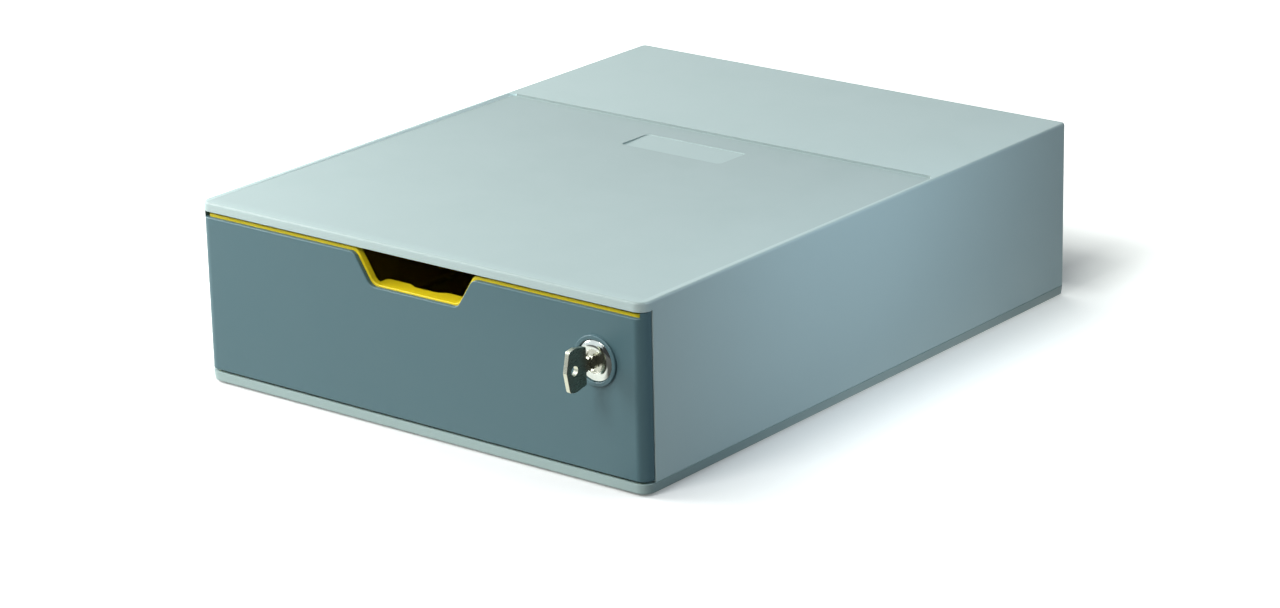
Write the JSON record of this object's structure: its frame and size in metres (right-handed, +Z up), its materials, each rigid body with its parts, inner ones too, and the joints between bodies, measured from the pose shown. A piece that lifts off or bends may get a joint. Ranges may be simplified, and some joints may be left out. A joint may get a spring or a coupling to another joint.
{
  "type": "desktop file drawer",
  "caption": "Flat desktop box for papers with one lockable drawer that pulls out of a plain housing by a finger notch, with a key in its cam lock.",
  "frame": {"origin": "middle of the whole footprint, the key in the lock included, on the desk under the feet", "axes": "+X to the user's right, +Y to the back of the housing, +Z up; the drawer opens towards -Y"},
  "size_m": [0.28, 0.3784, 0.095],
  "materials": {
    "housing_plastic": "fine satin grain",
    "base_plastic": "fine satin grain",
    "tray_plastic": "satin",
    "front_plastic": "fine satin grain",
    "foot_rubber": "matte",
    "screw_steel": "zinc plated",
    "lock_chrome": "polished",
    "cylinder_metal": "satin chrome",
    "wafer_brass": "stamped",
    "key_metal": "nickel plated, worn"
  },
  "bodies": {
    "housing": {"housing_shell": "housing_plastic", "base_plate": "base_plastic", "base_screws": "screw_steel", "foot_front_left": "foot_rubber", "foot_front_right": "foot_rubber", "foot_rear_left": "foot_rubber", "foot_rear_right": "foot_rubber"},
    "drawer": {"drawer_tray": "tray_plastic", "drawer_front": "front_plastic", "front_screws": "screw_steel", "lock_body": "lock_chrome", "lock_washer": "screw_steel", "lock_nut": "screw_steel"},
    "cylinder": {"lock_cylinder": "cylinder_metal", "lock_wafers": "wafer_brass", "wafer_springs": "screw_steel", "cylinder_clip": "screw_steel", "lock_cam": "screw_steel", "cam_washer": "screw_steel", "cam_screw": "screw_steel"},
    "key": {"key": "key_metal"}
  },
  "joints": [
    {"name": "drawer_slide", "type": "slide", "parent": "housing", "child": "drawer", "axis": [0, -1, 0], "range_m": [0, 0.27]},
    {"name": "lock_turn", "type": "hinge", "parent": "drawer", "child": "cylinder", "pos_m": [0.1115, -0.1668, 0.0623], "axis": [0, 1, 0], "range_deg": [0, 90]},
    {"name": "key_withdraw", "type": "slide", "parent": "cylinder", "child": "key", "axis": [0, -1, 0], "range_m": [0, 0.025]}
  ]
}
